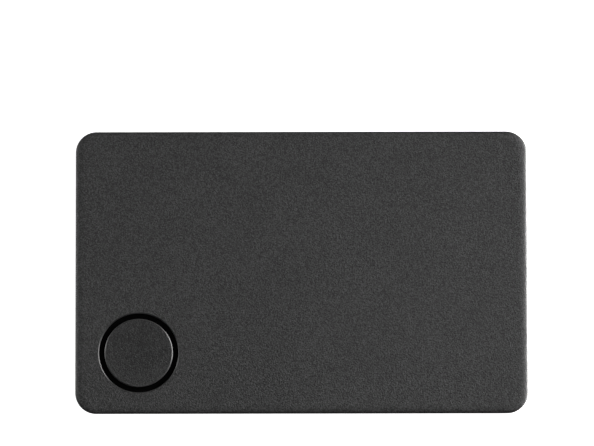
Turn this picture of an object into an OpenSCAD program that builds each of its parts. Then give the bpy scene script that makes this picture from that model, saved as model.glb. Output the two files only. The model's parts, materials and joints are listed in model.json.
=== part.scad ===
// Card-format bluetooth tracker, assembled from separate pieces.
// The card lies flat: X is its width, Y its depth, Z its thickness.
// The origin is under its centre, on the plane that it rests on.

/* [Card] */
// Width of the card along X
card_w = 86.2; // [86:0.1:90]
// Depth of the card along Y
card_d = 54.0; // [54:0.1:58]
// Thickness of the card
card_t = 2.4; // [2.4:0.1:3.0]
// Radius of the card's four corners, seen from above
corner_r = 4.0; // [3.4:0.1:4.6]

/* [Edges] */
// How far the front edge's roll reaches inward
front_roll_in = 1.8; // [1.2:0.1:2.4]
// How far the front edge's roll drops
front_roll_drop = 0.9; // [0.7:0.05:1.1]
// Squareness of the front edge's roll: 2 is an ellipse
front_roll_power = 2.5; // [2:0.1:3]
// How far the back edge's roll reaches inward
back_roll_in = 1.0; // [0.6:0.1:1.4]
// How far the back edge's roll rises
back_roll_rise = 0.7; // [0.5:0.05:0.8]
// Height of the back cover's ledge, just below the joint line
joint_z = 0.9; // [0.85:0.01:0.95]
// Width of the joint line between the two casings
joint_gap = 0.05; // [0.03:0.01:0.08]

/* [Walls] */
// Thickness of the front and back skins
skin_t = 0.45; // [0.4:0.01:0.5]
// Thickness of the front shell's skirt beside the lip
skirt_t = 0.5; // [0.4:0.05:0.55]
// Distance from the card's outline to its inner space
wall_t = 1.0; // [0.95:0.05:1.1]
// Height of the back cover's lip top
lip_top = 1.55; // [1.4:0.05:1.6]
// Clearance between pieces that fit inside each other
fit_gap = 0.05; // [0.03:0.01:0.08]

/* [Button] */
// Button centre, from the card's centre along X
button_x = -31.0; // [-31.4:0.1:-30]
// Button centre, from the card's centre along Y
button_y = -15.45; // [-15.8:0.05:-14]
// Diameter of the button cap
button_d = 13.0; // [12:0.1:13.4]
// Height of the button cap
cap_h = 0.95; // [0.9:0.01:1]
// Diameter of the hole in the front shell
ring_d = 15.1; // [14.6:0.1:15.4]
// Width of the chamfers on the cap's edge and on the hole's edge
edge_break = 0.16; // [0.1:0.01:0.25]
// Height of the same chamfers
edge_drop = 0.13; // [0.1:0.01:0.3]
// How far the button travels
button_travel = 0.15; // [0.1:0.01:0.18]

/* [Board] */
// Thickness of the circuit board
board_t = 0.4; // [0.3:0.05:0.45]
// Width of the narrow arm of the board
board_arm_w = 13.6; // [12:0.1:13.6]
// Depth of the wide part of the board
board_foot_d = 22.6; // [22:0.1:23]
// Thickness of the tape under the board and the battery
tape_t = 0.1; // [0.05:0.01:0.1]

/* [Battery] */
// Width of the battery's cup along X
cell_w = 35.6; // [30:0.1:36]
// Depth of the battery's cup along Y
cell_d = 47.0; // [40:0.1:48]
// Thickness of the battery
cell_t = 1.1; // [0.9:0.05:1.15]

/* [Sounder] */
// Diameter of the brass plate
piezo_d = 24.0; // [20:0.1:24]
// Diameter of the ceramic disc
piezo_ceramic_d = 17.0; // [14:0.1:18]
// Thickness of the brass plate and of the ceramic, each
piezo_t = 0.1; // [0.08:0.01:0.12]

/* [Hidden] */
$fn = 96;

// Heights, from the resting plane up
floor_z = skin_t;
ceiling_z = card_t - skin_t;
rim_z = joint_z + joint_gap;
board_z = floor_z + tape_t;
board_top = board_z + board_t;
tab_z = board_top;

// Casing plan: the inner space, and the spacer frame inside it
inner_w = card_w - 2 * wall_t;
inner_d = card_d - 2 * wall_t;
inner_r = corner_r - wall_t;
bead_inset = 0.12;
frame_wall = 0.6;
bay_x = inner_w / 2 - fit_gap - frame_wall;
bay_y = inner_d / 2 - fit_gap - frame_wall;
roll_steps = 12;

// Overlap of shapes that join, and overshoot of shapes that cut
lap = 0.1;
cut = 1;

// Board plan: an L with its corner at the lower left
board_gap = 0.25;
board_left = -bay_x + board_gap;
board_right = -1.2;
board_bottom = -bay_y + board_gap;
board_top_y = bay_y - board_gap;
board_arm_left = board_right - board_arm_w;
board_foot_top = board_bottom + board_foot_d;
board_corner = 2.0;
board_tape_inset = 1.0;
pin_r = 0.5;
pin_in = 1.4;
pin_places = [
    [board_left + pin_in, board_bottom + pin_in],
    [board_right - pin_in, board_bottom + pin_in],
    [board_arm_left + pin_in, board_top_y - pin_in]
];

// Partition walls of the spacer frame
bay_gap = 0.3;
battery_wall_x = board_right + bay_gap;
piezo_wall_x = board_arm_left - 2 * bay_gap - frame_wall;
piezo_wall_y = board_foot_top + bay_gap;
notch_h = 0.35;

// Button stack, from the board up
dome_r = 3.0;
dome_left_over = 0.05;
dome_h = button_travel + dome_left_over;
dome_t = 0.06;
dome_steps = 8;
dome_radii = [for (i = [0 : dome_steps]) dome_r * i / dome_steps];
sticker_r = 4.5;
sticker_t = 0.05;
sticker_skirt = 0.3;
plunger_r = 1.2;
plunger_lead_in = 0.1;
plunger_z = board_top + dome_h + sticker_t;
membrane_t = 0.05;
membrane_gap = 0.05;
pad_margin = 0.1;
cap_z = card_t - cap_h;
membrane_in_z = cap_z - membrane_t;
membrane_out_z = cap_z + membrane_t;
collar_z = membrane_out_z + membrane_t;
collar_t = 1.0;
collar_r = ring_d / 2 + collar_t;
flange_margin = 0.1;

// Parts on the board: sizes as [width, depth, height], and places
chip_size = [5.0, 5.0, 0.6];
main_crystal_size = [2.0, 1.6, 0.45];
clock_crystal_size = [1.5, 3.2, 0.6];
antenna_size = [5.2, 2.0, 0.8];
capacitor_size = [1.0, 0.5, 0.5];
resistor_size = [1.0, 0.5, 0.35];
bulk_capacitor_size = [2.8, 3.5, 0.85];
driver_size = [2.0, 2.0, 0.55];
boost_size = [2.5, 2.0, 0.8];
part_pitch = 1.6;
arm_x = board_right - board_arm_w / 2;
chip_place = [board_arm_left + 1.0, board_bottom + 11.2];
main_crystal_place = chip_place + [0, 4.6];
clock_crystal_place = chip_place + [5.2, 1.2];
antenna_place = [arm_x, board_top_y - 2.2];
inductor_place = antenna_place + [-3.6, -2.2];
driver_place = [arm_x + 2.0, 1.5];
boost_place = driver_place + [-3.6, 0];
bulk_capacitor_place = [arm_x - 3.2, 11.0];

// Battery plan: the cup fills the right bay, its terrace faces the board
cell_z = board_z;
cell_gap = 0.55;
cell_right = bay_x - cell_gap;
cell_left = cell_right - cell_w;
cell_mid_x = (cell_left + cell_right) / 2;
terrace_w = 3.0;
terrace_left = cell_left - terrace_w;
terrace_t = 0.25;
cup_r = 2.0;
cup_shoulder = 0.4;
cell_tape_margin = 3.0;
foam_margin = 2.5;
pad_corner = 1.0;
tab_w = 3.0;
tab_t = 0.1;
tab_reach = 5.0;
tab_left = board_right - tab_reach;
tab_ys = [7.0, 15.0];
tab_side_gap = 0.3;
film_t = 0.05;
film_margin = 1.2;
film_from_tab_end = 0.8;
film_from_terrace = 0.1;

// Sounder plan: the disc fills the upper left bay
piezo_gap = 0.5;
piezo_x = piezo_wall_x - piezo_gap - piezo_d / 2;
piezo_y = piezo_wall_y + frame_wall + (bay_y - piezo_wall_y - frame_wall) / 2;
piezo_ring_t = 0.15;
piezo_ring_w = 1.4;
plate_z = floor_z + piezo_ring_t;
ceramic_z = plate_z + piezo_t;
lead_w = 1.0;
lead_t = 0.08;
lead_ys = [-4.0, 2.0];
lead_slope = 0.4;
lead_on_board = 1.6;
lead_on_plate = 2.0;
lead_on_ceramic = 2.5;

// Points along a quarter of an ellipse or any part of it, from angle a0 to a1
function arc(cx, cz, rx, rz, a0, a1, steps = roll_steps) =
    [for (i = [0 : steps])
        let (a = a0 + (a1 - a0) * i / steps)
        [cx + rx * cos(a), cz + rz * sin(a)]];

// Points up a quarter roll of a given squareness, from its side to its flat face
function roll(cx, cz, rx, rz, power) =
    [for (i = [0 : roll_steps])
        let (a = 90 * i / roll_steps)
        [cx + rx * pow(cos(a), 2 / power), cz + rz * pow(sin(a), 2 / power)]];

// Rounded rectangle, seen from above
module round_rect(w, d, r) {
    square([w - 2 * r, d], center = true);
    square([w, d - 2 * r], center = true);
    for (sx = [-1, 1], sy = [-1, 1])
        translate([sx * (w / 2 - r), sy * (d / 2 - r)]) circle(r);
}

// Rounded plate with straight sides, from z up by t
module plate(w, d, r, z, t) {
    translate([0, 0, z]) linear_extrude(t) round_rect(w, d, r);
}

// Rounded closed wall with straight sides, inset from its outline by wall
module frame_ring(w, d, r, wall, z, t) {
    translate([0, 0, z]) linear_extrude(t)
        difference() {
            round_rect(w, d, r);
            round_rect(w - 2 * wall, d - 2 * wall, r - wall);
        }
}

// Sweeps a section around a rounded rectangle's edge. In the section, x = 0 is the corner's
// centre and x = r is the outline; y is the height.
module edge_sweep(w, d, r) {
    long_x = w - 2 * r;
    long_y = d - 2 * r;
    for (i = [0 : 3]) {
        sx = (i == 0 || i == 3) ? 1 : -1;
        sy = (i < 2) ? 1 : -1;
        translate([sx * long_x / 2, sy * long_y / 2, 0])
            rotate([0, 0, 90 * i]) rotate_extrude(angle = 90) children();
    }
    for (side = [0, 1]) {
        mirror([0, side, 0]) translate([-long_x / 2, long_y / 2, 0])
            rotate([90, 0, 90]) linear_extrude(long_x) children();
        mirror([side, 0, 0]) translate([long_x / 2, long_y / 2, 0])
            rotate([90, 0, 0]) linear_extrude(long_y) children();
    }
}

// Section of the front shell's edge: roof, roll, side, and the rebate over the lip
module front_section() {
    r = corner_r;
    roll_z = card_t - front_roll_drop;
    rebate_top = lip_top + fit_gap;
    polygon(concat(
        [[0, ceiling_z], [r - wall_t, ceiling_z], [r - wall_t, rebate_top],
         [r - skirt_t, rebate_top], [r - skirt_t, rim_z], [r - joint_gap, rim_z],
         [r, rim_z + joint_gap]],
        roll(r - front_roll_in, roll_z, front_roll_in, front_roll_drop, front_roll_power),
        [[0, card_t]]
    ));
}

// Section of the back cover's edge: floor, roll, ledge and lip
module back_section() {
    r = corner_r;
    lip_out = skirt_t + fit_gap;
    polygon(concat(
        [[0, 0]],
        arc(r - back_roll_in, back_roll_rise, back_roll_in, back_roll_rise, -90, 0),
        [[r, joint_z - joint_gap], [r - joint_gap, joint_z], [r - lip_out, joint_z],
         [r - lip_out, lip_top], [r - wall_t, lip_top], [r - wall_t, floor_z], [0, floor_z]]
    ));
}

// Front casing: rolled edge, flat roof, and a collar around the button hole
module front_shell() {
    color("#39393b")
    difference() {
        union() {
            edge_sweep(card_w, card_d, corner_r) front_section();
            translate([0, 0, ceiling_z + skin_t / 2])
                cube([card_w - 2 * corner_r, card_d - 2 * corner_r, skin_t], center = true);
            translate([button_x, button_y, collar_z])
                cylinder(r = collar_r, h = ceiling_z + skin_t / 2 - collar_z);
        }
        translate([button_x, button_y, 0]) cylinder(d = ring_d, h = card_t + cut);
        translate([button_x, button_y, card_t - edge_drop])
            cylinder(r1 = ring_d / 2, r2 = ring_d / 2 + 2 * edge_break, h = 2 * edge_drop);
    }
}

// Back casing: rolled edge, flat floor, and three pins that locate the board
module back_cover() {
    color("#333335") {
        edge_sweep(card_w, card_d, corner_r) back_section();
        translate([0, 0, floor_z / 2])
            cube([card_w - 2 * corner_r, card_d - 2 * corner_r, floor_z], center = true);
        for (p = pin_places)
            translate([p[0], p[1], floor_z / 2]) cylinder(r = pin_r, h = board_top - floor_z / 2);
    }
}

// Bead of adhesive in the joint line, between the ledge and the skirt
module perimeter_adhesive() {
    color("#1b1b1d")
    frame_ring(card_w - 2 * bead_inset, card_d - 2 * bead_inset, corner_r - bead_inset,
               skirt_t - bead_inset, joint_z, joint_gap);
}

// Spacer frame between floor and ceiling, with walls between the bays
module mid_frame() {
    frame_w = inner_w - 2 * fit_gap;
    frame_d = inner_d - 2 * fit_gap;
    wall_h = ceiling_z - floor_z;
    through = frame_wall + 2 * lap;
    color("#55585c")
    difference() {
        union() {
            frame_ring(frame_w, frame_d, inner_r - fit_gap, frame_wall, floor_z, wall_h);
            translate([battery_wall_x, -bay_y - lap, floor_z])
                cube([frame_wall, 2 * bay_y + 2 * lap, wall_h]);
            translate([piezo_wall_x, piezo_wall_y, floor_z])
                cube([frame_wall, bay_y - piezo_wall_y + lap, wall_h]);
            translate([-bay_x - lap, piezo_wall_y, floor_z])
                cube([piezo_wall_x + bay_x + lap + frame_wall, frame_wall, wall_h]);
        }
        for (y = tab_ys)
            translate([battery_wall_x - lap, y - tab_w / 2 - tab_side_gap, tab_z - fit_gap])
                cube([through, tab_w + 2 * tab_side_gap, notch_h]);
        translate([battery_wall_x - lap, tab_ys[0] - tab_w, tab_z + tab_t])
            cube([through, tab_ys[1] - tab_ys[0] + 2 * tab_w, notch_h]);
        for (y = lead_ys)
            translate([piezo_wall_x - lap, piezo_y + y - lead_w, plate_z])
                cube([through, 2 * lead_w, 2 * notch_h]);
    }
}

// Button cap with a broken edge
module button_cap() {
    r = button_d / 2;
    color("#353537")
    translate([button_x, button_y, 0]) rotate_extrude()
        polygon([[0, cap_z], [r, cap_z], [r, card_t - edge_drop],
                 [r - edge_break, card_t], [0, card_t]]);
}

// Flexible seal: a flange bonded under the collar, a sloping web, and a pad under the cap
module button_membrane() {
    web_out = ring_d / 2 - membrane_gap;
    web_in = button_d / 2 + pad_margin;
    flange_r = collar_r - flange_margin;
    color("#0a0a0b")
    translate([button_x, button_y, 0]) rotate_extrude()
        polygon([[0, membrane_in_z], [web_in, membrane_in_z], [web_out, membrane_out_z],
                 [flange_r, membrane_out_z], [flange_r, membrane_out_z + membrane_t],
                 [web_out, membrane_out_z + membrane_t], [web_in, membrane_in_z + membrane_t],
                 [0, membrane_in_z + membrane_t]]);
}

// Nub under the membrane that presses the dome
module button_plunger() {
    color("#1c1c1e")
    translate([button_x, button_y, 0]) rotate_extrude()
        polygon([[0, plunger_z], [plunger_r - plunger_lead_in, plunger_z],
                 [plunger_r, plunger_z + plunger_lead_in], [plunger_r, membrane_in_z],
                 [0, membrane_in_z]]);
}

// Height of the dome's upper face above the board, at radius r
function dome_top(r) = dome_t + (dome_h - dome_t) * (1 - pow(r / dome_r, 2));

// Stainless click dome
module snap_dome() {
    upper = [for (r = dome_radii) [r, board_top + dome_top(r)]];
    lower = [for (i = [dome_steps : -1 : 0])
        [dome_radii[i], board_top + dome_top(dome_radii[i]) - dome_t]];
    color("#b9bcc0")
    translate([button_x, button_y, 0]) rotate_extrude() polygon(concat(upper, lower));
}

// Film that holds the dome on the board
module dome_sticker() {
    skirt_r = dome_r + sticker_skirt;
    over = [for (i = [dome_steps : -1 : 0])
        [dome_radii[i], board_top + dome_top(dome_radii[i]) + sticker_t]];
    under = [for (r = dome_radii) [r, board_top + dome_top(r)]];
    color("#c9c4a8")
    translate([button_x, button_y, 0]) rotate_extrude()
        polygon(concat(under, [[skirt_r, board_top], [sticker_r, board_top],
            [sticker_r, board_top + sticker_t], [skirt_r, board_top + sticker_t]], over));
}

// Outline of the board: foot and arm, less an inset all around
module board_outline(inset) {
    foot_w = board_right - board_left - 2 * inset;
    foot_d = board_foot_d - 2 * inset;
    arm_w = board_arm_w - 2 * inset;
    arm_d = board_top_y - board_bottom - 2 * inset;
    translate([board_left + inset + foot_w / 2, board_bottom + inset + foot_d / 2])
        round_rect(foot_w, foot_d, board_corner);
    translate([board_arm_left + inset + arm_w / 2, board_bottom + inset + arm_d / 2])
        round_rect(arm_w, arm_d, board_corner);
}

// Circuit board with holes for the locating pins
module main_board() {
    color("#14402c")
    translate([0, 0, board_z]) linear_extrude(board_t)
        difference() {
            board_outline(0);
            for (p = pin_places) translate(p) circle(pin_r + fit_gap);
        }
}

// Tape under the board, clear of the pins
module board_adhesive() {
    color("#d8d5cc")
    translate([0, 0, floor_z]) linear_extrude(tape_t)
        difference() {
            board_outline(board_tape_inset);
            for (p = pin_places) translate(p) circle(2 * pin_r);
        }
}

// Flat chip body on the board with a round pin-one dimple
module chip(place, size) {
    dimple_r = 0.22;
    dimple_in = 0.55;
    dimple_deep = 0.04;
    translate([place.x, place.y, board_top]) difference() {
        translate([-size.x / 2, -size.y / 2, 0]) cube(size);
        translate([-size.x / 2 + dimple_in, size.y / 2 - dimple_in, size.z - dimple_deep])
            cylinder(r = dimple_r, h = cut);
    }
}

// Metal-lidded part on the board: a base and a smaller lid
module lidded(place, size) {
    step = 0.12;
    base_h = size.z * 0.6;
    translate([place.x, place.y, board_top]) {
        translate([-size.x / 2, -size.y / 2, 0]) cube([size.x, size.y, base_h]);
        translate([-size.x / 2 + step, -size.y / 2 + step, base_h])
            cube([size.x - 2 * step, size.y - 2 * step, size.z - base_h]);
    }
}

// Chip part with two end caps that stand a little proud of its body
module end_capped(place, size, turn = 0) {
    cap_l = size.x * 0.22;
    proud = 0.02;
    translate([place.x, place.y, board_top]) rotate([0, 0, turn]) {
        translate([-size.x / 2 + cap_l, -size.y / 2 + proud, proud])
            cube([size.x - 2 * cap_l, size.y - 2 * proud, size.z - 2 * proud]);
        for (x0 = [-size.x / 2, size.x / 2 - cap_l])
            translate([x0, -size.y / 2, 0]) cube([cap_l, size.y, size.z]);
    }
}

// A row of the same chip parts, from a first place on, each a step further
module part_row(first, step, count, size, turn = 0) {
    for (i = [0 : count - 1]) end_capped(first + i * step, size, turn);
}

// Radio system-on-chip
module bluetooth_chip() {
    color("#1d1d20") chip(chip_place, chip_size);
}

// Radio crystal
module main_crystal() {
    color("#a9acb0") lidded(main_crystal_place, main_crystal_size);
}

// Low-power clock crystal
module clock_crystal() {
    color("#b4b7bb") lidded(clock_crystal_place, clock_crystal_size);
}

// Ceramic antenna at the board's free end
module chip_antenna() {
    color("#e4e2da") end_capped(antenna_place, antenna_size);
}

// Matching parts between the radio and the antenna
module antenna_inductors() {
    color("#6b4a33") part_row(inductor_place, [-1.3, 0], 2, capacitor_size, 90);
}

// Chip capacitors: a row under the radio, a column beside it and a row at the driver
module small_capacitors() {
    color("#9c7a54") {
        part_row(chip_place + [-2 * part_pitch, -4.0], [part_pitch, 0], 5, capacitor_size, 90);
        part_row(chip_place + [-3.9, -part_pitch], [0, part_pitch], 3, capacitor_size);
        part_row(driver_place + [-5.0, -2.8], [2.0, 0], 4, capacitor_size, 90);
    }
}

// Chip resistors: a row beyond the capacitors and a pair above the driver
module small_resistors() {
    color("#26262a") {
        part_row(chip_place + [-1.5 * part_pitch, -6.0], [part_pitch, 0], 4, resistor_size, 90);
        part_row(driver_place + [-part_pitch, 2.6], [1.8, 0], 2, resistor_size, 90);
    }
}

// Reservoir capacitor beside the battery's tabs
module bulk_capacitor() {
    color("#2b2724") lidded(bulk_capacitor_place, bulk_capacitor_size);
}

// Sounder driver
module buzzer_driver() {
    color("#202024") chip(driver_place, driver_size);
}

// Step-up inductor of the driver
module boost_inductor() {
    color("#4c4c50") lidded(boost_place, boost_size);
}

// Disc of the sounder, from z up by t
module disc(d, z, t) {
    translate([piezo_x, piezo_y, z]) cylinder(d = d, h = t);
}

// Brass plate
module piezo_plate() {
    color("#b8964a") disc(piezo_d, plate_z, piezo_t);
}

// Ceramic disc on the plate
module piezo_ceramic() {
    color("#d9d6cc") disc(piezo_ceramic_d, ceramic_z, piezo_t);
}

// Ring that bonds the plate's rim to the back cover
module piezo_adhesive() {
    color("#c8c4b4")
    difference() {
        disc(piezo_d, floor_z, piezo_ring_t);
        disc(piezo_d - 2 * piezo_ring_w, floor_z - cut, piezo_ring_t + 2 * cut);
    }
}

// Flat lead that rises from a face at low_z to the board's top
module lead(from_x, y, low_z) {
    bend_x = board_arm_left - bay_gap;
    foot_x = bend_x - lead_slope;
    to_x = board_arm_left + lead_on_board;
    translate([0, piezo_y + y + lead_w / 2, 0]) rotate([90, 0, 0]) linear_extrude(lead_w)
        polygon([[from_x, low_z], [foot_x, low_z], [bend_x, board_top],
                 [to_x, board_top], [to_x, board_top + lead_t], [bend_x, board_top + lead_t],
                 [foot_x, low_z + lead_t], [from_x, low_z + lead_t]]);
}

// Two flat leads: one from the brass plate's rim, one from the ceramic
module piezo_leads() {
    rim_x = sqrt(pow(piezo_d / 2, 2) - pow(lead_ys[0] - lead_w, 2));
    plate_from = piezo_x + rim_x - lead_on_plate;
    ceramic_from = piezo_x + piezo_ceramic_d / 2 - lead_on_ceramic;
    color("#c98a54") {
        lead(plate_from, lead_ys[0], ceramic_z);
        lead(ceramic_from, lead_ys[1], ceramic_z + piezo_t);
    }
}

// Section of the cell's edge: flat faces with rounded shoulders
module cell_section() {
    s = cup_shoulder;
    top = cell_z + cell_t;
    polygon(concat(
        [[0, cell_z]],
        arc(cup_r - s, cell_z + s, s, s, -90, 0, roll_steps / 2),
        arc(cup_r - s, top - s, s, s, 0, 90, roll_steps / 2),
        [[0, top]]
    ));
}

// Pouch cell: a cup with rounded shoulders and a sealed terrace that the tabs leave
module battery_cell() {
    color("#c4c7ca") {
        translate([cell_mid_x, 0, 0]) {
            edge_sweep(cell_w, cell_d, cup_r) cell_section();
            translate([0, 0, cell_z + cell_t / 2])
                cube([cell_w - 2 * cup_r, cell_d - 2 * cup_r, cell_t], center = true);
        }
        translate([terrace_left, -cell_d / 2 + cup_r, tab_z])
            cube([terrace_w + cup_shoulder, cell_d - 2 * cup_r, terrace_t]);
    }
}

// Two nickel tabs from the terrace to the board
module battery_tabs() {
    color("#a7a9a2")
    for (y = tab_ys)
        translate([tab_left, y - tab_w / 2, tab_z]) cube([terrace_left - tab_left, tab_w, tab_t]);
}

// Film over both tabs
module tab_insulation() {
    film_w = terrace_left - tab_left - film_from_tab_end - film_from_terrace;
    film_d = tab_ys[1] - tab_ys[0] + tab_w + 2 * film_margin;
    film_y = tab_ys[0] - tab_w / 2 - film_margin;
    color("#b8741a")
    translate([tab_left + film_from_tab_end, film_y, tab_z + tab_t]) cube([film_w, film_d, film_t]);
}

// Tape under the cell
module battery_adhesive() {
    margin = 2 * cell_tape_margin;
    color("#dedbd2")
    translate([cell_mid_x, 0, 0])
        plate(cell_w - margin, cell_d - margin, pad_corner, floor_z, cell_z - floor_z);
}

// Foam between the cell and the front shell
module battery_foam() {
    margin = 2 * foam_margin;
    foam_z = cell_z + cell_t;
    color("#3d3d42")
    translate([cell_mid_x, 0, 0])
        plate(cell_w - margin, cell_d - margin, pad_corner, foam_z, ceiling_z - foam_z);
}

front_shell();
back_cover();
perimeter_adhesive();
mid_frame();
button_cap();
button_membrane();
button_plunger();
snap_dome();
dome_sticker();
main_board();
board_adhesive();
bluetooth_chip();
main_crystal();
clock_crystal();
chip_antenna();
antenna_inductors();
small_capacitors();
small_resistors();
bulk_capacitor();
buzzer_driver();
boost_inductor();
piezo_plate();
piezo_ceramic();
piezo_adhesive();
piezo_leads();
battery_cell();
battery_tabs();
tab_insulation();
battery_adhesive();
battery_foam();
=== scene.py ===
"""Looks of the wallet-card tracker: casing, button, seal and every piece inside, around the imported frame."""

import json
import math

import bmesh
import bpy
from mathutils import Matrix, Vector


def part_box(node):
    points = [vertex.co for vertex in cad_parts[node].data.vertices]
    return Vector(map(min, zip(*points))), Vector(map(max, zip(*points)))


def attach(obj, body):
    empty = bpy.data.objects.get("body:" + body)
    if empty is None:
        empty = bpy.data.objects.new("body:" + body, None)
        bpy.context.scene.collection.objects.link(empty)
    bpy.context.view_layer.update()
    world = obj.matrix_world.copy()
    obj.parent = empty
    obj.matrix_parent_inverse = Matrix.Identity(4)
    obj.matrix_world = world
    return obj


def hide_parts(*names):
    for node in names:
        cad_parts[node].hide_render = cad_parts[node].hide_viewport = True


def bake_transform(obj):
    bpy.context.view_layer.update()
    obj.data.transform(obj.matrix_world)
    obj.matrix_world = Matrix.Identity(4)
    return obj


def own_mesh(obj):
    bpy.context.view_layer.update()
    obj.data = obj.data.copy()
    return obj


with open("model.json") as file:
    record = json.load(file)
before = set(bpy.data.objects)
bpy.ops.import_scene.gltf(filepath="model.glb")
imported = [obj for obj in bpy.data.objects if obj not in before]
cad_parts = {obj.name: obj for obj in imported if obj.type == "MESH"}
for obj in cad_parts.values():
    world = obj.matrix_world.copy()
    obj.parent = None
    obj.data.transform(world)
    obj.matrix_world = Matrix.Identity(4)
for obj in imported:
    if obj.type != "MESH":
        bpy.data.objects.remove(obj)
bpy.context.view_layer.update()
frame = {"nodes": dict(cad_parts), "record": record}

MM = 0.001

# ---------------------------------------------------------------- places from the frame

SHELL_LOW, SHELL_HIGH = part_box("front_shell")
BACK_LOW, BACK_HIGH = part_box("back_cover")
CAP_LOW, CAP_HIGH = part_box("button_cap")
SEAL_LOW, SEAL_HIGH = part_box("button_membrane")
BOARD_LOW, BOARD_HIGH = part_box("main_board")
DOME_LOW, DOME_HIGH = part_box("snap_dome")
FILM_LOW, FILM_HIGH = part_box("dome_sticker")

CARD_W = SHELL_HIGH.x - SHELL_LOW.x
CARD_D = SHELL_HIGH.y - SHELL_LOW.y
CARD_T = SHELL_HIGH.z
CARD_CENTRE = Vector((0, 0, CARD_T / 2))
BUTTON = (CAP_LOW + CAP_HIGH) / 2
BUTTON_R = (CAP_HIGH.x - CAP_LOW.x) / 2

# ---------------------------------------------------------------- casing sizes

CORNER_R = 4.0 * MM
FRONT_ROLL_IN = 1.8 * MM
FRONT_ROLL_DROP = 0.9 * MM
FRONT_ROLL_POWER = 2.5
BACK_ROLL_IN = 1.0 * MM
BACK_ROLL_RISE = 0.7 * MM
SKIN_T = 0.45 * MM
WALL_T = 1.0 * MM
SKIRT_T = 0.5 * MM
FIT_GAP = 0.05 * MM
JOINT_GAP = 0.05 * MM
PIN_R = 0.5 * MM
RING_R = 7.55 * MM
COLLAR_R = 8.55 * MM
EDGE_BREAK = 0.16 * MM
EDGE_DROP = 0.13 * MM
EDGE_ROUND = 0.05 * MM
FOOT_BREAK = 0.08 * MM
SEAL_T = 0.05 * MM
SEAL_MARGIN = 0.1 * MM
DOME_T = 0.06 * MM
FILM_T = 0.05 * MM
FILM_SKIRT = 0.3 * MM
BOARD_ARM_W = 13.6 * MM
PIN_IN = 1.4 * MM
PIN_PLACES = (
    (BOARD_LOW.x + PIN_IN, BOARD_LOW.y + PIN_IN),
    (BOARD_HIGH.x - PIN_IN, BOARD_LOW.y + PIN_IN),
    (BOARD_HIGH.x - BOARD_ARM_W + PIN_IN, BOARD_HIGH.y - PIN_IN),
)

CORNER_STEPS = 24
ROLL_STEPS = 24
RIM_STEPS = 4
ROUND_STEPS = 192
PIN_STEPS = 32
WEB_STEPS = 10
DOME_STEPS = 16
SHARP_ANGLE = math.radians(28)

OUTSIDE_FACE = 0
INSIDE_FACE = 1
EDGE_FACE = 2


# ---------------------------------------------------------------- mesh building

def arc(x, z, r, start, end, steps):
    """Points (x, z) along part of a circle, from start to end in degrees."""
    angles = [math.radians(start + (end - start) * i / steps) for i in range(steps + 1)]
    return [(x + r * math.cos(a), z + r * math.sin(a)) for a in angles]


def roll(reach, drop, power):
    """Points (inset, drop) over a rolled edge, from the flat face to the side. A power of 2 gives an
    ellipse, and a higher one a squarer edge."""
    angles = [math.radians(90 * i / ROLL_STEPS) for i in range(ROLL_STEPS)]
    curve = [(math.sin(a) ** (2 / power), math.cos(a) ** (2 / power)) for a in angles]
    return [(reach * (1 - x), drop * (1 - z)) for x, z in curve] + [(0, drop)]


def card_loop(inset, z):
    """Points around the card's outline, moved inward by inset, at height z."""
    r = CORNER_R - inset
    points = []
    for corner, (sx, sy) in enumerate(((1, 1), (-1, 1), (-1, -1), (1, -1))):
        centre_x = sx * (CARD_W / 2 - CORNER_R)
        centre_y = sy * (CARD_D / 2 - CORNER_R)
        for i in range(CORNER_STEPS + 1):
            a = math.radians(90 * corner + 90 * i / CORNER_STEPS)
            points.append((centre_x + r * math.cos(a), centre_y + r * math.sin(a), z))
    return points


def round_loop(centre, r, z, steps=ROUND_STEPS):
    """Points around a circle at height z."""
    angles = [2 * math.pi * i / steps for i in range(steps)]
    return [(centre[0] + r * math.cos(a), centre[1] + r * math.sin(a), z) for a in angles]


def add_skin(bm, loops, faces=(), rest=INSIDE_FACE):
    """Quads between each loop of points and the next. Returns the loops' vertices. The numbers in faces
    give the first bands their materials, and the bands after those take the one numbered rest."""
    rings = [[bm.verts.new(p) for p in loop] for loop in loops]
    for band, (low, high) in enumerate(zip(rings, rings[1:])):
        for a, b, c, d in zip(low, low[1:] + low[:1], high[1:] + high[:1], high):
            face = bm.faces.new((a, b, c, d))
            face.material_index = faces[band] if band < len(faces) else rest
    return rings


def add_flat(bm, rings, material_index=OUTSIDE_FACE):
    """A flat face in the outline of the first ring of vertices, with the other rings as holes."""
    edges = []
    for ring in rings:
        for a, b in zip(ring, ring[1:] + ring[:1]):
            edges.append(bm.edges.get((a, b)) or bm.edges.new((a, b)))
    filled = bmesh.ops.triangle_fill(bm, use_beauty=True, edges=edges)
    for face in filled["geom"]:
        if isinstance(face, bmesh.types.BMFace):
            face.material_index = material_index


def new_piece(name, bm, materials, body, nodes):
    """Makes the mesh a smooth-shaded piece with crisp edges, on its body, in place of the nodes."""
    bmesh.ops.recalc_face_normals(bm, faces=bm.faces)
    for face in bm.faces:
        face.smooth = True
    for edge in bm.edges:
        edge.smooth = len(edge.link_faces) == 2 and edge.calc_face_angle() < SHARP_ANGLE
    mesh = bpy.data.meshes.new(name)
    bm.to_mesh(mesh)
    bm.free()
    piece = bpy.data.objects.new(name, mesh)
    bpy.context.scene.collection.objects.link(piece)
    for material in materials:
        mesh.materials.append(material)
    weighted = piece.modifiers.new("flat_faces_lead", "WEIGHTED_NORMAL")
    weighted.keep_sharp = True
    weighted.weight = 100
    if body:
        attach(piece, body)
    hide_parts(*nodes)
    return piece


# ---------------------------------------------------------------- material building

PLASTIC_GRAIN = 0.19 * MM
PLASTIC_PIT_DEPTH = 0.14 * MM
PLASTIC_MIDDLE = 0.465
PAINTED_GLINT_GAIN = 1.14
MICRO_RELIEF = 0.004 * MM


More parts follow.
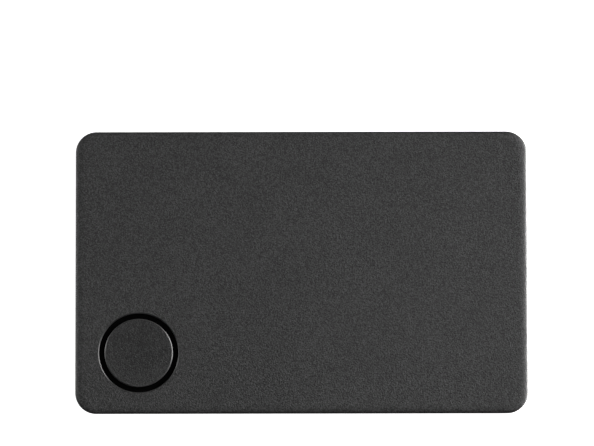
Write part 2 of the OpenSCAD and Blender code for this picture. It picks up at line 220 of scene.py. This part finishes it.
class Paint:
    """A node material with a Principled shader, and short calls for the nodes around it."""

    def __init__(self, name, **sockets):
        self.material = bpy.data.materials.new(name)
        self.material.use_nodes = True
        self.tree = self.material.node_tree
        self.shader = self.tree.nodes["Principled BSDF"]
        self.coords = self.tree.nodes.new("ShaderNodeTexCoord")
        for socket, value in sockets.items():
            self.shader.inputs[socket.replace("_", " ")].default_value = value

    def link(self, source, target):
        self.tree.links.new(source, target)

    def noise(self, size, detail=2.0, rough=0.5, stretch=(1, 1, 1)):
        """Noise with features about size metres wide, drawn out by stretch."""
        mapping = self.tree.nodes.new("ShaderNodeMapping")
        mapping.inputs["Scale"].default_value = stretch
        self.link(self.coords.outputs["Object"], mapping.inputs["Vector"])
        node = self.tree.nodes.new("ShaderNodeTexNoise")
        node.inputs["Scale"].default_value = 1 / size
        node.inputs["Detail"].default_value = detail
        node.inputs["Roughness"].default_value = rough
        self.link(mapping.outputs["Vector"], node.inputs["Vector"])
        return node.outputs["Fac"]

    def grains(self, size):
        """Grains about size metres wide, each of its own value."""
        node = self.tree.nodes.new("ShaderNodeTexVoronoi")
        node.inputs["Scale"].default_value = 1 / size
        self.link(self.coords.outputs["Object"], node.inputs["Vector"])
        return node.outputs["Color"]

    def fade(self, centre, radius):
        """1 at the centre, falling to 0 at that radius."""
        mapping = self.tree.nodes.new("ShaderNodeMapping")
        mapping.inputs["Scale"].default_value = [1 / radius] * 3
        mapping.inputs["Location"].default_value = [-c / radius for c in centre]
        self.link(self.coords.outputs["Object"], mapping.inputs["Vector"])
        node = self.tree.nodes.new("ShaderNodeTexGradient")
        node.gradient_type = "SPHERICAL"
        self.link(mapping.outputs["Vector"], node.inputs["Vector"])
        return node.outputs["Fac"]

    def ramp(self, source, stops):
        """Colours or greys along a value: stops are (position, value)."""
        node = self.tree.nodes.new("ShaderNodeValToRGB")
        elements = node.color_ramp.elements
        for i, (position, value) in enumerate(stops):
            element = elements[i] if i < 2 else elements.new(position)
            element.position = position
            colour = (value, value, value) if isinstance(value, (int, float)) else value
            element.color = (*colour, 1)
        self.link(source, node.inputs["Fac"])
        return node.outputs["Color"]

    def math(self, operation, a, b):
        node = self.tree.nodes.new("ShaderNodeMath")
        node.operation = operation
        for socket, value in zip(node.inputs, (a, b)):
            if isinstance(value, (int, float)):
                socket.default_value = value
            else:
                self.link(value, socket)
        return node.outputs["Value"]

    def bump(self, source, height, normal=None):
        """Surface relief of that height in metres."""
        node = self.tree.nodes.new("ShaderNodeBump")
        node.inputs["Distance"].default_value = height
        self.link(source, node.inputs["Height"])
        if normal is not None:
            self.link(normal, node.inputs["Normal"])
        return node.outputs["Normal"]

    def wire(self, **sources):
        """Links outputs to the shader's sockets."""
        for socket, source in sources.items():
            self.link(source, self.shader.inputs[socket.replace("_", " ")])
        return self.material


def spark_eroded_plastic(name, dark, light, dim_centre=None, dim_radius=0.0):
    """Matte moulded plastic with the fine pitted texture of a spark-eroded mould, its colour spread from dark
    grain up to pale painted glints.
    Around a dim centre, if one is given, it is a little darker and smoother."""
    paint = Paint(name, Specular_IOR_Level=0.5, IOR=1.49)
    pits = paint.noise(1.6 * PLASTIC_GRAIN, detail=2.0, rough=0.7)
    fine = paint.noise(PLASTIC_GRAIN / 3, detail=1.0)
    cloud = paint.noise(9 * MM, detail=3.0)
    sand = paint.math("MULTIPLY", paint.grains(PLASTIC_GRAIN), 0.5)
    tone = paint.math("ADD", sand, paint.math("MULTIPLY", pits, 0.4))
    tone = paint.math("ADD", tone, paint.math("MULTIPLY", cloud, 0.1))
    matt = pits
    if dim_centre:
        # Darker colour and lower roughness around the dim centre.
        dim_spot = paint.fade(dim_centre, dim_radius)
        tone = paint.math("SUBTRACT", tone, paint.math("MULTIPLY", dim_spot, 0.1))
        matt = paint.math("SUBTRACT", pits, paint.math("MULTIPLY", dim_spot, 0.2))
    middle = (dark + light) * PLASTIC_MIDDLE
    # The colour runs from the grain's own dark tone up to pale painted glints: the pale end stands in for
    # light glinting off the pits.
    colour = paint.ramp(tone, ((0.33, dark), (0.5, middle), (0.68, light * PAINTED_GLINT_GAIN)))
    rough = paint.ramp(matt, ((0.3, 0.38), (0.7, 0.5)))
    relief = paint.bump(pits, PLASTIC_PIT_DEPTH)
    relief = paint.bump(fine, MICRO_RELIEF, normal=relief)
    return paint.wire(Base_Color=colour, Roughness=rough, Normal=relief)


def bright_edge(name, dark, light, shine):
    """The same plastic along a cut edge of the mould, where it comes out crisp and smoother."""
    paint = Paint(name, Specular_IOR_Level=shine, IOR=1.49)
    nicks = paint.noise(0.8 * MM, detail=2.0)
    colour = paint.ramp(nicks, ((0.35, dark), (0.65, light)))
    rough = paint.ramp(nicks, ((0.3, 0.34), (0.7, 0.42)))
    return paint.wire(Base_Color=colour, Roughness=rough, Normal=paint.bump(nicks, MICRO_RELIEF))


def inner_plastic_painted_shade(name, dark, light):
    """The same plastic on inner faces, without the pitted texture, painted near black as painted shade in the
    groove round the button.
    """
    paint = Paint(name, Specular_IOR_Level=0.3, IOR=1.49)
    flow = paint.noise(2.5 * MM, detail=3.0)
    # Near-black colour: painted shade down the groove walls.
    colour = paint.ramp(flow, ((0.35, dark), (0.65, light)))
    rough = paint.ramp(flow, ((0.3, 0.4), (0.7, 0.5)))
    return paint.wire(Base_Color=colour, Roughness=rough, Normal=paint.bump(flow, 0.01 * MM))


def silicone_in_painted_shade(name):
    """Dull black rubber with a faint dusting, painted far darker than black rubber as painted shade at the
    groove's bottom.
    """
    paint = Paint(name, Specular_IOR_Level=0.05)
    dust = paint.noise(0.4 * MM, detail=3.0)
    # Far darker than black rubber: painted shade at the bottom of the groove round the button.
    colour = paint.ramp(dust, ((0.4, 0.0008), (0.75, 0.002)))
    rough = paint.ramp(dust, ((0.3, 0.8), (0.7, 0.95)))
    return paint.wire(Base_Color=colour, Roughness=rough, Normal=paint.bump(dust, MICRO_RELIEF))


def rolled_metal(name, dark, light, rough=0.3, along=(1, 12, 1)):
    """Sheet or plated metal with fine rolling lines."""
    paint = Paint(name, Metallic=1.0)
    lines = paint.noise(0.9 * MM, detail=4.0, stretch=along)
    colour = paint.ramp(lines, ((0.35, dark), (0.65, light)))
    roughness = paint.ramp(lines, ((0.3, rough * 0.8), (0.7, rough * 1.3)))
    return paint.wire(Base_Color=colour, Roughness=roughness, Normal=paint.bump(lines, 0.002 * MM))


def speckled(name, dark, light, size, rough=0.6, height=MICRO_RELIEF):
    """Ceramic, resin, tape or foam: a mottled surface with grains of that size."""
    paint = Paint(name)
    grains = paint.noise(size, detail=3.0, rough=0.6)
    colour = paint.ramp(grains, ((0.35, dark), (0.65, light)))
    roughness = paint.ramp(grains, ((0.3, rough * 0.85), (0.7, min(1.0, rough * 1.2))))
    return paint.wire(Base_Color=colour, Roughness=roughness, Normal=paint.bump(grains, height))


def clear_film(name, tint):
    """Thin polymer film, slightly see-through, with soft ripples."""
    paint = Paint(name, Transmission_Weight=0.5, IOR=1.57)
    ripples = paint.noise(1.2 * MM, detail=2.0)
    pale = tuple(min(1.0, c * 1.25) for c in tint)
    colour = paint.ramp(ripples, ((0.35, tint), (0.65, pale)))
    roughness = paint.ramp(ripples, ((0.3, 0.175), (0.7, 0.35)))
    return paint.wire(Base_Color=colour, Roughness=roughness, Normal=paint.bump(ripples, 0.01 * MM))


def board_laminate(name):
    """Green solder mask: tracks show as paler lines under it, over a faint glass weave."""
    paint = Paint(name, Coat_Weight=0.3, Coat_Roughness=0.2)
    bricks = paint.tree.nodes.new("ShaderNodeTexBrick")
    bricks.inputs["Scale"].default_value = 1 / (3.4 * MM)
    bricks.inputs["Mortar Size"].default_value = 0.045
    bricks.inputs["Color1"].default_value = (0.004, 0.045, 0.022, 1)
    bricks.inputs["Color2"].default_value = (0.005, 0.055, 0.027, 1)
    bricks.inputs["Mortar"].default_value = (0.02, 0.13, 0.055, 1)
    paint.link(paint.coords.outputs["Object"], bricks.inputs["Vector"])
    weave = paint.noise(0.35 * MM, detail=1.0, stretch=(1, 3, 1))
    roughness = paint.ramp(weave, ((0.3, 0.3), (0.7, 0.45)))
    relief = paint.bump(weave, 0.003 * MM, normal=paint.bump(bricks.outputs["Fac"], 0.02 * MM))
    return paint.wire(Base_Color=bricks.outputs["Color"], Roughness=roughness, Normal=relief)


# ---------------------------------------------------------------- casing and button pieces

def broken_edge(r, top):
    """Points (r, z) down the chamfer on a round edge, softened where it meets the top face."""
    slope = math.atan2(EDGE_DROP, EDGE_BREAK)
    inset = EDGE_BREAK + EDGE_ROUND * math.tan(slope / 2)
    bend = arc(r - inset, top - EDGE_ROUND, EDGE_ROUND, 90, 90 - math.degrees(slope), RIM_STEPS)
    return bend + [(r, top - EDGE_DROP)]


def front_shell(*materials):
    """Front casing as one closed skin: rolled edge, roof, hole with a chamfered rim, collar and rebate."""
    rim_z = SHELL_LOW.z
    ceiling_z = CARD_T - SKIN_T
    rebate_z = BACK_HIGH.z + FIT_GAP
    edge = [(x, CARD_T - z) for x, z in roll(FRONT_ROLL_IN, FRONT_ROLL_DROP, FRONT_ROLL_POWER)]
    side = [(0, rim_z + JOINT_GAP), (JOINT_GAP, rim_z)]
    inside = [(SKIRT_T, rim_z), (SKIRT_T, rebate_z), (WALL_T, rebate_z), (WALL_T, ceiling_z)]
    bm = bmesh.new()
    loops = [card_loop(inset, z) for inset, z in edge + side + inside]
    casing = add_skin(bm, loops, [OUTSIDE_FACE] * (len(edge + side) - 1))
    rim = [(2 * RING_R - r, z) for r, z in broken_edge(RING_R, CARD_T)]
    collar_z = SEAL_HIGH.z
    well = [(RING_R, collar_z), (COLLAR_R, collar_z), (COLLAR_R, ceiling_z)]
    hole = add_skin(bm, [round_loop(BUTTON, r, z) for r, z in rim + well], [EDGE_FACE] * (len(rim) - 1))
    add_flat(bm, [casing[0], hole[0]])
    add_flat(bm, [casing[-1], hole[-1]], INSIDE_FACE)
    return new_piece("front_casing", bm, materials, "case", ["front_shell"])


def back_cover(*materials):
    """Back casing as one closed skin: rolled edge, ledge, lip, floor and locating pins."""
    joint_z = SHELL_LOW.z - JOINT_GAP
    lip_out = SKIRT_T + FIT_GAP
    edge = roll(BACK_ROLL_IN, BACK_ROLL_RISE, 2)
    side = [(0, joint_z - JOINT_GAP), (JOINT_GAP, joint_z)]
    lip = [(lip_out, joint_z), (lip_out, BACK_HIGH.z), (WALL_T, BACK_HIGH.z), (WALL_T, SKIN_T)]
    bm = bmesh.new()
    loops = [card_loop(inset, z) for inset, z in edge + side + lip]
    casing = add_skin(bm, loops, [OUTSIDE_FACE] * (len(edge + side) - 1))
    pins = []
    for place in PIN_PLACES:
        pin = add_skin(bm, [round_loop(place, PIN_R, z, PIN_STEPS) for z in (SKIN_T, BOARD_HIGH.z)])
        add_flat(bm, [pin[-1]], INSIDE_FACE)
        pins.append(pin[0])
    add_flat(bm, [casing[0]])
    add_flat(bm, [casing[-1]] + pins, INSIDE_FACE)
    return new_piece("back_casing", bm, materials, "case", ["back_cover"])


def turned_skin(profile, faces=(), rest=OUTSIDE_FACE):
    """Closed skin turned about the button's axis, which the profile's first and last points lie on."""
    bm = bmesh.new()
    rings = add_skin(bm, [round_loop(BUTTON, r, z) for r, z in profile[1:-1]], faces, rest)
    for ring, (_, z) in ((rings[0], profile[0]), (rings[-1], profile[-1])):
        tip = bm.verts.new((BUTTON.x, BUTTON.y, z))
        for a, b in zip(ring, ring[1:] + ring[:1]):
            bm.faces.new((a, b, tip))
    return bm


def button_cap(*materials):
    """Push button with a chamfered rim."""
    edge = broken_edge(BUTTON_R, CAP_HIGH.z)
    foot = [(BUTTON_R, CAP_LOW.z + FOOT_BREAK), (BUTTON_R - FOOT_BREAK, CAP_LOW.z)]
    profile = [(0, CAP_HIGH.z)] + edge + foot + [(0, CAP_LOW.z)]
    bm = turned_skin(profile, [EDGE_FACE] * (len(edge) - 1), rest=INSIDE_FACE)
    return new_piece("push_button", bm, materials, "button", ["button_cap"])


def button_seal(material):
    """Flexible seal with a sloping web."""
    web_out = RING_R - SEAL_MARGIN / 2
    web_in = BUTTON_R + SEAL_MARGIN
    flange_r = (SEAL_HIGH.x - SEAL_LOW.x) / 2
    pad_z = SEAL_LOW.z
    flange_z = SEAL_HIGH.z - SEAL_T
    shares = [i / WEB_STEPS for i in range(WEB_STEPS + 1)]
    web = [(web_in + (web_out - web_in) * share, pad_z + (flange_z - pad_z) * share) for share in shares]
    under = [(0, pad_z)] + web + [(flange_r, flange_z)]
    over = [(r, z + SEAL_T) for r, z in reversed(under)]
    piece = new_piece("button_seal", turned_skin(under + over), [material], None, ["button_membrane"])
    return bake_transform(piece)


def dome_curve():
    """Points (r, z) along the click dome's upper face, from its axis to its rim."""
    radius = (DOME_HIGH.x - DOME_LOW.x) / 2
    rise = DOME_HIGH.z - DOME_LOW.z - DOME_T
    shares = [i / DOME_STEPS for i in range(DOME_STEPS + 1)]
    return [(radius * share, DOME_LOW.z + DOME_T + rise * (1 - share ** 2)) for share in shares]


def flatten(piece):
    """Gives the piece its own copy of its mesh; nothing here flattens it."""
    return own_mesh(piece)


def click_dome(material):
    """Thin sprung steel dome, open below."""
    upper = dome_curve()
    lower = [(r, z - DOME_T) for r, z in reversed(upper)]
    piece = new_piece("click_dome", turned_skin(upper + lower), [material], "case", ["snap_dome"])
    return flatten(piece)


def dome_film(material):
    """Film over the click dome, with a flat skirt on the board."""
    under = dome_curve()
    skirt_r = under[-1][0] + FILM_SKIRT
    edge_r = (FILM_HIGH.x - FILM_LOW.x) / 2
    skirt = [(skirt_r, FILM_LOW.z), (edge_r, FILM_LOW.z)]
    over = [(r, z + FILM_T) for r, z in reversed(under + skirt)]
    bm = turned_skin(under + skirt + over)
    return flatten(new_piece("dome_film", bm, [material], "case", ["dome_sticker"]))


# The button is darker and smoother around a point a little above its middle.
DIM_CENTRE = (BUTTON.x, BUTTON.y + 0.2 * BUTTON_R, CAP_HIGH.z)
DIM_RADIUS = 1.1 * BUTTON_R

casing_paint = spark_eroded_plastic("casing_plastic", 0.010, 0.050)
button_paint = spark_eroded_plastic("button_plastic", 0.006, 0.036, DIM_CENTRE, DIM_RADIUS)
cap_edge_paint = bright_edge("cap_edge", 0.026, 0.034, 0.9)
hole_edge_paint = bright_edge("hole_edge", 0.016, 0.024, 0.65)
# Inner faces, the groove walls among them, are painted near black: painted shade in the groove round the
# button.
inside_painted_shade = inner_plastic_painted_shade("moulded_inside_painted_shade", 0.003, 0.005)

front_shell(casing_paint, inside_painted_shade, hole_edge_paint)
back_cover(casing_paint, inside_painted_shade)
button_cap(button_paint, inside_painted_shade, cap_edge_paint)

# ---------------------------------------------------------------- inside materials, by slot

INSIDE = {
    "sealant": speckled("sealant", (0.012, 0.012, 0.013), (0.03, 0.03, 0.032), 0.5 * MM),
    "frame_plastic": speckled("frame_plastic", 0.07, 0.11, 0.5 * MM),
    "membrane_rubber": silicone_in_painted_shade("seal_silicone_painted_shade"),
    "dome_steel": rolled_metal("dome_steel", 0.5, 0.62, 0.2),
    "clear_film": clear_film("clear_film", (0.75, 0.73, 0.62)),
    "board_laminate": board_laminate("board_laminate"),
    "tape": speckled("tape", (0.6, 0.58, 0.52), (0.74, 0.72, 0.66), 0.8 * MM, 0.8),
    "chip_resin": speckled("chip_resin", 0.008, 0.016, 0.12 * MM, 0.5),
    "crystal_can": rolled_metal("crystal_can", 0.42, 0.55, 0.35),
    "antenna_ceramic": speckled("antenna_ceramic", (0.66, 0.64, 0.6), (0.78, 0.76, 0.72), 0.2 * MM, 0.4),
    "part_ceramic": speckled("part_ceramic", (0.2, 0.12, 0.06), (0.34, 0.21, 0.11), 0.2 * MM, 0.4),
    "ferrite": speckled("ferrite", 0.04, 0.08, 0.15 * MM, 0.55),
    "sounder_brass": rolled_metal("sounder_brass", (0.5, 0.34, 0.1), (0.66, 0.47, 0.17)),
    "sounder_ceramic": speckled("sounder_ceramic", (0.6, 0.58, 0.52), (0.75, 0.73, 0.66), 0.3 * MM, 0.45),
    "lead_copper": rolled_metal("lead_copper", (0.55, 0.22, 0.1), (0.68, 0.3, 0.15)),
    "pouch_foil": rolled_metal("pouch_foil", 0.5, 0.62, 0.4, (1, 3, 1)),
    "tab_nickel": rolled_metal("tab_nickel", (0.38, 0.38, 0.35), (0.48, 0.48, 0.44)),
    "amber_film": clear_film("amber_film", (0.5, 0.18, 0.02)),
    "foam": speckled("foam", 0.03, 0.07, 0.3 * MM, 0.95, 0.04 * MM),
}

button_seal(INSIDE["membrane_rubber"])
click_dome(INSIDE["dome_steel"])
dome_film(INSIDE["clear_film"])

for part in frame["record"]["subparts"]:
    node = frame["nodes"][part["node"]]
    if part["material_slot"] in INSIDE and not node.hide_render:
        node.data.materials.clear()
        node.data.materials.append(INSIDE[part["material_slot"]])

# ---------------------------------------------------------------- floor, light and camera

FLOOR_R = 1.8
COVE_R = 0.6
COVE_STEPS = 24
WALL_TOP = 3.0
FLOOR_DROP = 0.02 * MM
FLOOR_GLOW = 1.2
CAMERA_TILT = math.radians(6.7)
CAMERA_DISTANCE = 1.106
CAMERA_ROLL = math.radians(-0.1)
CAMERA_LENS = 351
CAMERA_SENSOR = 36
AIM = CARD_CENTRE + Vector((-0.00965 * CARD_W, 0.1757 * CARD_D, 0))


def floor():
    """Plain pale floor that curves up into a round wall. It glows like a light table, and the card
    doesn't reflect it."""
    bend = arc(FLOOR_R, COVE_R - FLOOR_DROP, COVE_R, -90, 0, COVE_STEPS)
    wall = [(FLOOR_R + COVE_R, WALL_TOP)]
    bm = bmesh.new()
    rings = add_skin(bm, [round_loop((0, 0), r, z) for r, z in bend + wall], rest=OUTSIDE_FACE)
    add_flat(bm, [rings[0]])
    for face in bm.faces:
        face.smooth = True
    mesh = bpy.data.meshes.new("floor")
    bm.to_mesh(mesh)
    bm.free()
    cove = bpy.data.objects.new("floor", mesh)
    bpy.context.scene.collection.objects.link(cove)
    cove.visible_glossy = False
    cove.visible_diffuse = False
    cove.visible_shadow = False
    paint = Paint("floor_paper", Roughness=1.0, Specular_IOR_Level=0.0, Emission_Strength=FLOOR_GLOW)
    shade = paint.ramp(paint.noise(0.3, detail=2.0), ((0.3, 0.82), (0.7, 0.86)))
    mesh.materials.append(paint.wire(Base_Color=shade, Emission_Color=shade))


def soft_light(name, azimuth, elevation, distance, size, watts):
    """Square soft light that faces the card, at a compass angle from +X and a height angle in degrees.

    A negative height lights the sides from below, as a pale table would: the floor here casts no shadow.
    """
    data = bpy.data.lights.new(name, "AREA")
    data.shape = "SQUARE"
    data.size = size
    data.energy = watts
    light = bpy.data.objects.new(name, data)
    turn = math.radians(azimuth)
    rise = math.radians(elevation)
    towards = Vector((math.cos(turn) * math.cos(rise), math.sin(turn) * math.cos(rise), math.sin(rise)))
    light.location = CARD_CENTRE + towards * distance
    light.rotation_mode = "QUATERNION"
    light.rotation_quaternion = towards.to_track_quat("Z", "Y")
    light.visible_camera = False
    bpy.context.scene.collection.objects.link(light)


def pale_room(strength):
    """Even pale light from all around."""
    world = bpy.data.worlds.new("pale_room")
    world.use_nodes = True
    background = world.node_tree.nodes["Background"]
    background.inputs["Color"].default_value = (1, 1, 1, 1)
    background.inputs["Strength"].default_value = strength
    bpy.context.scene.world = world


def camera():
    """Camera almost straight above the card, leaning towards the viewer."""
    data = bpy.data.cameras.new("camera")
    data.lens = CAMERA_LENS
    data.sensor_width = CAMERA_SENSOR
    data.clip_start = 0.01
    data.clip_end = 10
    shooter = bpy.data.objects.new("camera", data)
    away = Vector((0, -math.sin(CAMERA_TILT), math.cos(CAMERA_TILT)))
    shooter.location = AIM + away * CAMERA_DISTANCE
    shooter.rotation_euler = (CAMERA_TILT, 0, 0)
    shooter.rotation_euler.rotate_axis("Z", CAMERA_ROLL)
    bpy.context.scene.collection.objects.link(shooter)
    bpy.context.scene.camera = shooter


floor()
pale_room(0.02)
soft_light("key", 28, 19, 0.45, 0.2, 1.4)
soft_light("low_right", 345, 28, 0.4, 0.2, 0.32)
soft_light("skim_right", 3, 10, 1.0, 0.3, 4.4)
soft_light("bounce_right", 5, -24, 0.5, 0.2, 6.2)
soft_light("bounce_left", 175, -30, 0.5, 0.2, 0.5)
soft_light("high_right", 0, 65, 0.3, 0.15, 0.155)
soft_light("high_front", 315, 65, 0.8, 0.3, 0.6)
soft_light("low_front", 270, 35, 1.0, 0.4, 0.7)
soft_light("low_left", 183, 27, 0.14, 0.07, 0.019)
soft_light("skim_left", 165, 5, 1.0, 0.4, 3.2)
soft_light("back", 90, 40, 1.0, 0.4, 0.6)
camera()
bpy.context.scene.view_settings.view_transform = "Standard"
